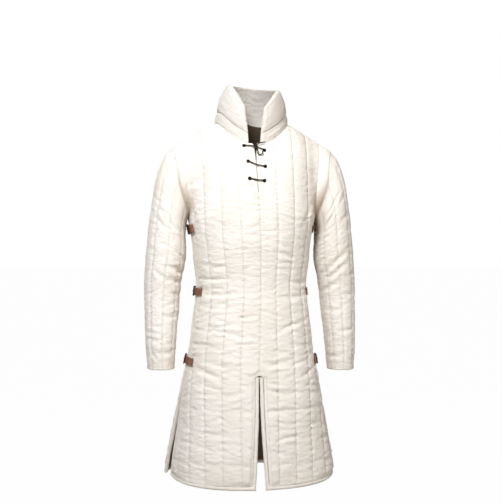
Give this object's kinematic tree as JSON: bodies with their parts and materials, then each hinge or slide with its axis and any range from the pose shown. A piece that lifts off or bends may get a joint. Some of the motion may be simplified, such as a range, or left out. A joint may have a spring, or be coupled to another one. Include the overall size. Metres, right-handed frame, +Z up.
{
  "type": "gambeson",
  "caption": "Padded quilted coat with a tall open collar, laced neck slit, long sleeves, slit skirt and open sides closed by buckled straps.",
  "frame": {"origin": "on the garment's middle axis, level with the neck seam at the shoulders, where the wearer's neck comes through", "axes": "+Z up along the wearer, the front faces -Y, +X to the right when seen from the front"},
  "size_m": [0.549, 0.3273, 1.0156],
  "materials": {
    "canvas": "natural cotton canvas, quilted over padding",
    "binding": "the same canvas, rolled over and stitched",
    "leather": "brown strap leather, smooth side out",
    "buckle": "blackened steel",
    "eyelet": "black enamelled metal",
    "lace": "round black cotton cord"
  },
  "bodies": {
    "root": {"back": "canvas", "binding_back": "binding", "binding_front_left": "binding", "binding_front_right": "binding", "buckle_left_1": "buckle", "buckle_left_2": "buckle", "buckle_left_3": "buckle", "buckle_right_1": "buckle", "buckle_right_2": "buckle", "buckle_right_3": "buckle", "collar_band": "canvas", "collar_upper": "canvas", "eyelet_left_1": "eyelet", "eyelet_left_2": "eyelet", "eyelet_left_3": "eyelet", "eyelet_right_1": "eyelet", "eyelet_right_2": "eyelet", "eyelet_right_3": "eyelet", "front": "canvas", "lace": "lace", "lace_knot": "lace", "lace_loop": "lace", "lace_stub": "lace", "lace_tail": "lace", "sleeve_left": "canvas", "sleeve_right": "canvas", "strap_left_1": "leather", "strap_left_2": "leather", "strap_left_3": "leather", "strap_right_1": "leather", "strap_right_2": "leather", "strap_right_3": "leather", "tab_left_1": "leather", "tab_left_2": "leather", "tab_left_3": "leather", "tab_right_1": "leather", "tab_right_2": "leather", "tab_right_3": "leather"}
  },
  "joints": []
}
